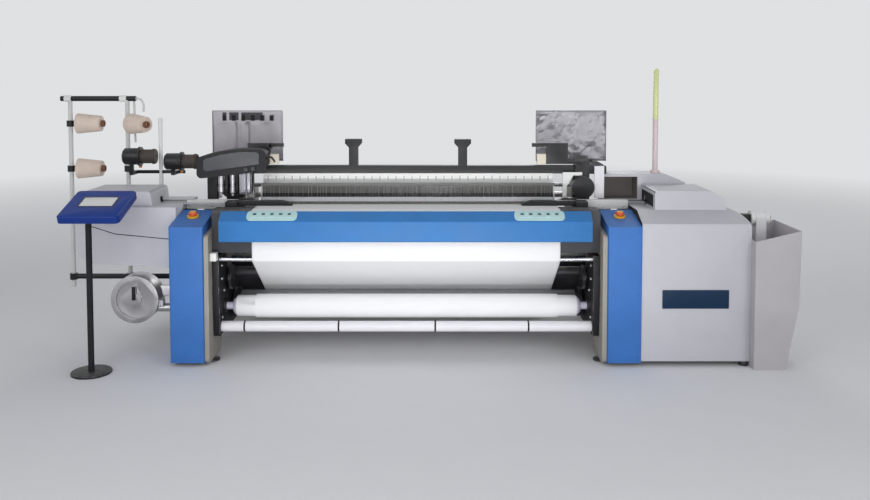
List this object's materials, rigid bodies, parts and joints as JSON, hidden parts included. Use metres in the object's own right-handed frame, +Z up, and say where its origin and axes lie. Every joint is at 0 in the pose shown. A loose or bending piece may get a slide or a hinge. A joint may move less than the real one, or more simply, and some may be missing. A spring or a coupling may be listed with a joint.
{
  "type": "power loom",
  "caption": "Rapier power loom with blue column covers, an open weaving zone, white cloth on its roll, a yarn creel and grey drive housings at both ends",
  "frame": {"origin": "Middle of the footprint, on the floor.", "axes": "+X runs to the right along the loom seen from the front, +Y runs from the weaver's side at the front to the warp side at the back, +Z is up."},
  "size_m": [4.503, 2.0178, 1.722],
  "materials": {
    "frame_paint": "cast frame, warm grey machine paint",
    "beam_paint": "dark grey machine paint",
    "dark_steel": "dark machined and cast iron",
    "bright_steel": "ground bright steel",
    "bracket_black": "black enamel",
    "blue_paint": "satin blue powder coat",
    "mint_plastic": "pale membrane panel with dark keys",
    "yellow_plastic": "yellow moulded plastic",
    "red_plastic": "red moulded plastic",
    "grip_rubber": "rough grip covering",
    "cloth": "plain white woven cloth",
    "warp_yarn": "close parallel warp yarn",
    "yarn": "wound cream yarn",
    "aluminium": "cast and machined aluminium",
    "pale_paint": "pale grey paint",
    "guard_sheet": "thin bright guard sheet",
    "rapier_black": "black moulded and anodised parts",
    "grey_paint": "light grey powder coat",
    "lamp_plastic": "translucent lamp lens",
    "white_plastic": "white moulded plastic",
    "bin_sheet": "pale grey bin",
    "brown_card": "brown paper tube",
    "terminal_blue": "dark blue moulded desk",
    "screen_glass": "pale unlit display"
  },
  "bodies": {
    "loom": {"left_side_frame": "frame_paint", "right_side_frame": "frame_paint", "levelling_feet": "dark_steel", "cross_beams": "beam_paint", "front_bars": "bright_steel", "take_up_brackets": "bracket_black", "breast_beam_cover": "blue_paint", "keypads": "mint_plastic", "left_column_cover": "blue_paint", "right_column_cover": "blue_paint", "stop_button_collars": "yellow_plastic", "cloth_sheet": "cloth", "harness_guides": "pale_paint", "end_guards": "guard_sheet", "rapier_rails": "aluminium", "drive_units": "dark_steel", "left_housing": "grey_paint", "drive_cabinet": "grey_paint", "right_hoods": "grey_paint", "signal_pole": "pale_paint", "signal_lamp": "lamp_plastic", "waste_arm": "bracket_black", "waste_bin": "bin_sheet", "creel_frame": "pale_paint", "cone_cores": "brown_card", "yarn_cones": "yarn", "feeder_bodies": "rapier_black", "feeder_drums": "yarn", "weft_presenter": "bracket_black", "temples": "bracket_black", "warp_stands": "frame_paint", "drop_wire_bars": "bright_steel", "warp_sheet": "warp_yarn", "terminal_post": "bracket_black", "suction_blower": "aluminium"},
    "sley": {"sley": "aluminium", "reed": "bright_steel"},
    "left_rapier": {"left_rapier": "rapier_black"},
    "right_rapier": {"right_rapier": "rapier_black"},
    "left_wheel": {"left_rapier_wheel": "aluminium"},
    "right_wheel": {"right_rapier_wheel": "aluminium"},
    "take_up_roller": {"take_up_roller": "grip_rubber"},
    "press_roller": {"press_roller": "bright_steel"},
    "cloth_roll": {"cloth_roll": "cloth"},
    "back_rest_roller": {"back_rest_roller": "bright_steel"},
    "warp_beam": {"warp_beam": "warp_yarn", "warp_beam_flanges": "aluminium"},
    "waste_roller": {"waste_roller": "white_plastic"},
    "feeder_disc_1": {"feeder_disc_1": "yellow_plastic"},
    "feeder_disc_2": {"feeder_disc_2": "yellow_plastic"},
    "needle_1": {"presenter_needle_1": "bright_steel"},
    "needle_2": {"presenter_needle_2": "bright_steel"},
    "left_stop": {"left_stop_button": "red_plastic"},
    "right_stop": {"right_stop_button": "red_plastic"},
    "terminal": {"terminal_housing": "terminal_blue", "terminal_screen": "screen_glass"},
    "heald_frame_1": {"heald_frame_1": "rapier_black"},
    "heald_frame_2": {"heald_frame_2": "rapier_black"},
    "heald_frame_3": {"heald_frame_3": "rapier_black"},
    "heald_frame_4": {"heald_frame_4": "rapier_black"}
  },
  "joints": [
    {"name": "sley_beat", "type": "hinge", "parent": "loom", "child": "sley", "pos_m": [0.0055, -0.34107, 0.46], "axis": [-1, 0, 0], "range_deg": [-10, 0]},
    {"name": "left_wheel_turn", "type": "hinge", "parent": "loom", "child": "left_wheel", "pos_m": [-1.6845, -0.37807, 0.7617], "axis": [0, 1, 0], "range_deg": [0, 343]},
    {"name": "right_wheel_turn", "type": "hinge", "parent": "loom", "child": "right_wheel", "pos_m": [1.6955, -0.37807, 0.7617], "axis": [0, -1, 0], "range_deg": [0, 343]},
    {"name": "left_rapier_insert", "type": "slide", "parent": "loom", "child": "left_rapier", "axis": [1, 0, 0], "range_m": [0, 0.9]},
    {"name": "right_rapier_insert", "type": "slide", "parent": "loom", "child": "right_rapier", "axis": [-1, 0, 0], "range_m": [0, 0.9]},
    {"name": "heald_frame_1_lift", "type": "slide", "parent": "loom", "child": "heald_frame_1", "axis": [0, 0, 1], "range_m": [0, 0.09]},
    {"name": "heald_frame_2_lift", "type": "slide", "parent": "loom", "child": "heald_frame_2", "axis": [0, 0, 1], "range_m": [0, 0.09]},
    {"name": "heald_frame_3_lift", "type": "slide", "parent": "loom", "child": "heald_frame_3", "axis": [0, 0, 1], "range_m": [0, 0.09]},
    {"name": "heald_frame_4_lift", "type": "slide", "parent": "loom", "child": "heald_frame_4", "axis": [0, 0, 1], "range_m": [0, 0.09]},
    {"name": "take_up_turn", "type": "hinge", "parent": "loom", "child": "take_up_roller", "pos_m": [0.0055, -0.30107, 0.268], "axis": [1, 0, 0], "continuous": true},
    {"name": "press_turn", "type": "hinge", "parent": "loom", "child": "press_roller", "pos_m": [0.0055, -0.23563, 0.19002], "axis": [1, 0, 0], "continuous": true},
    {"name": "cloth_roll_turn", "type": "hinge", "parent": "loom", "child": "cloth_roll", "pos_m": [0.0055, -0.53107, 0.3], "axis": [1, 0, 0], "continuous": true},
    {"name": "back_rest_turn", "type": "hinge", "parent": "loom", "child": "back_rest_roller", "pos_m": [0.0055, 0.44393, 0.8352], "axis": [1, 0, 0], "continuous": true},
    {"name": "warp_beam_turn", "type": "hinge", "parent": "loom", "child": "warp_beam", "pos_m": [0.0055, 0.64393, 0.45], "axis": [1, 0, 0], "continuous": true},
    {"name": "waste_roller_turn", "type": "hinge", "parent": "loom", "child": "waste_roller", "pos_m": [2.0615, -0.50607, 0.828], "axis": [1, 0, 0], "continuous": true},
    {"name": "feeder_disc_1_turn", "type": "hinge", "parent": "loom", "child": "feeder_disc_1", "pos_m": [-1.7795, -0.25107, 1.172], "axis": [1, 0, 0], "continuous": true},
    {"name": "feeder_disc_2_turn", "type": "hinge", "parent": "loom", "child": "feeder_disc_2", "pos_m": [-1.5195, -0.25107, 1.14], "axis": [1, 0, 0], "continuous": true},
    {"name": "needle_1_swing", "type": "hinge", "parent": "loom", "child": "needle_1", "pos_m": [-0.9295, -0.43337, 1.11366], "axis": [0, 1, 0], "range_deg": [0, 11]},
    {"name": "needle_2_swing", "type": "hinge", "parent": "loom", "child": "needle_2", "pos_m": [-0.9735, -0.43337, 1.10863], "axis": [0, 1, 0], "range_deg": [0, 11]},
    {"name": "left_stop_press", "type": "slide", "parent": "loom", "child": "left_stop", "axis": [0, 0.1896, -0.9819], "range_m": [0, 0.006], "stiffness_N_per_m": 1500},
    {"name": "right_stop_press", "type": "slide", "parent": "loom", "child": "right_stop", "axis": [0, 0.1896, -0.9819], "range_m": [0, 0.006], "stiffness_N_per_m": 1500},
    {"name": "terminal_tilt", "type": "hinge", "parent": "loom", "child": "terminal", "pos_m": [-1.7665, -0.85007, 0.9], "axis": [1, 0, 0], "range_deg": [-12, 12]}
  ],
  "couplings": [
    {"joint": "left_rapier_insert", "follows": "left_wheel_turn", "m_per_rad": 0.15},
    {"joint": "right_wheel_turn", "follows": "left_wheel_turn", "ratio": 1},
    {"joint": "right_rapier_insert", "follows": "left_wheel_turn", "m_per_rad": 0.15},
    {"joint": "press_turn", "follows": "take_up_turn", "ratio": -2.3333}
  ]
}
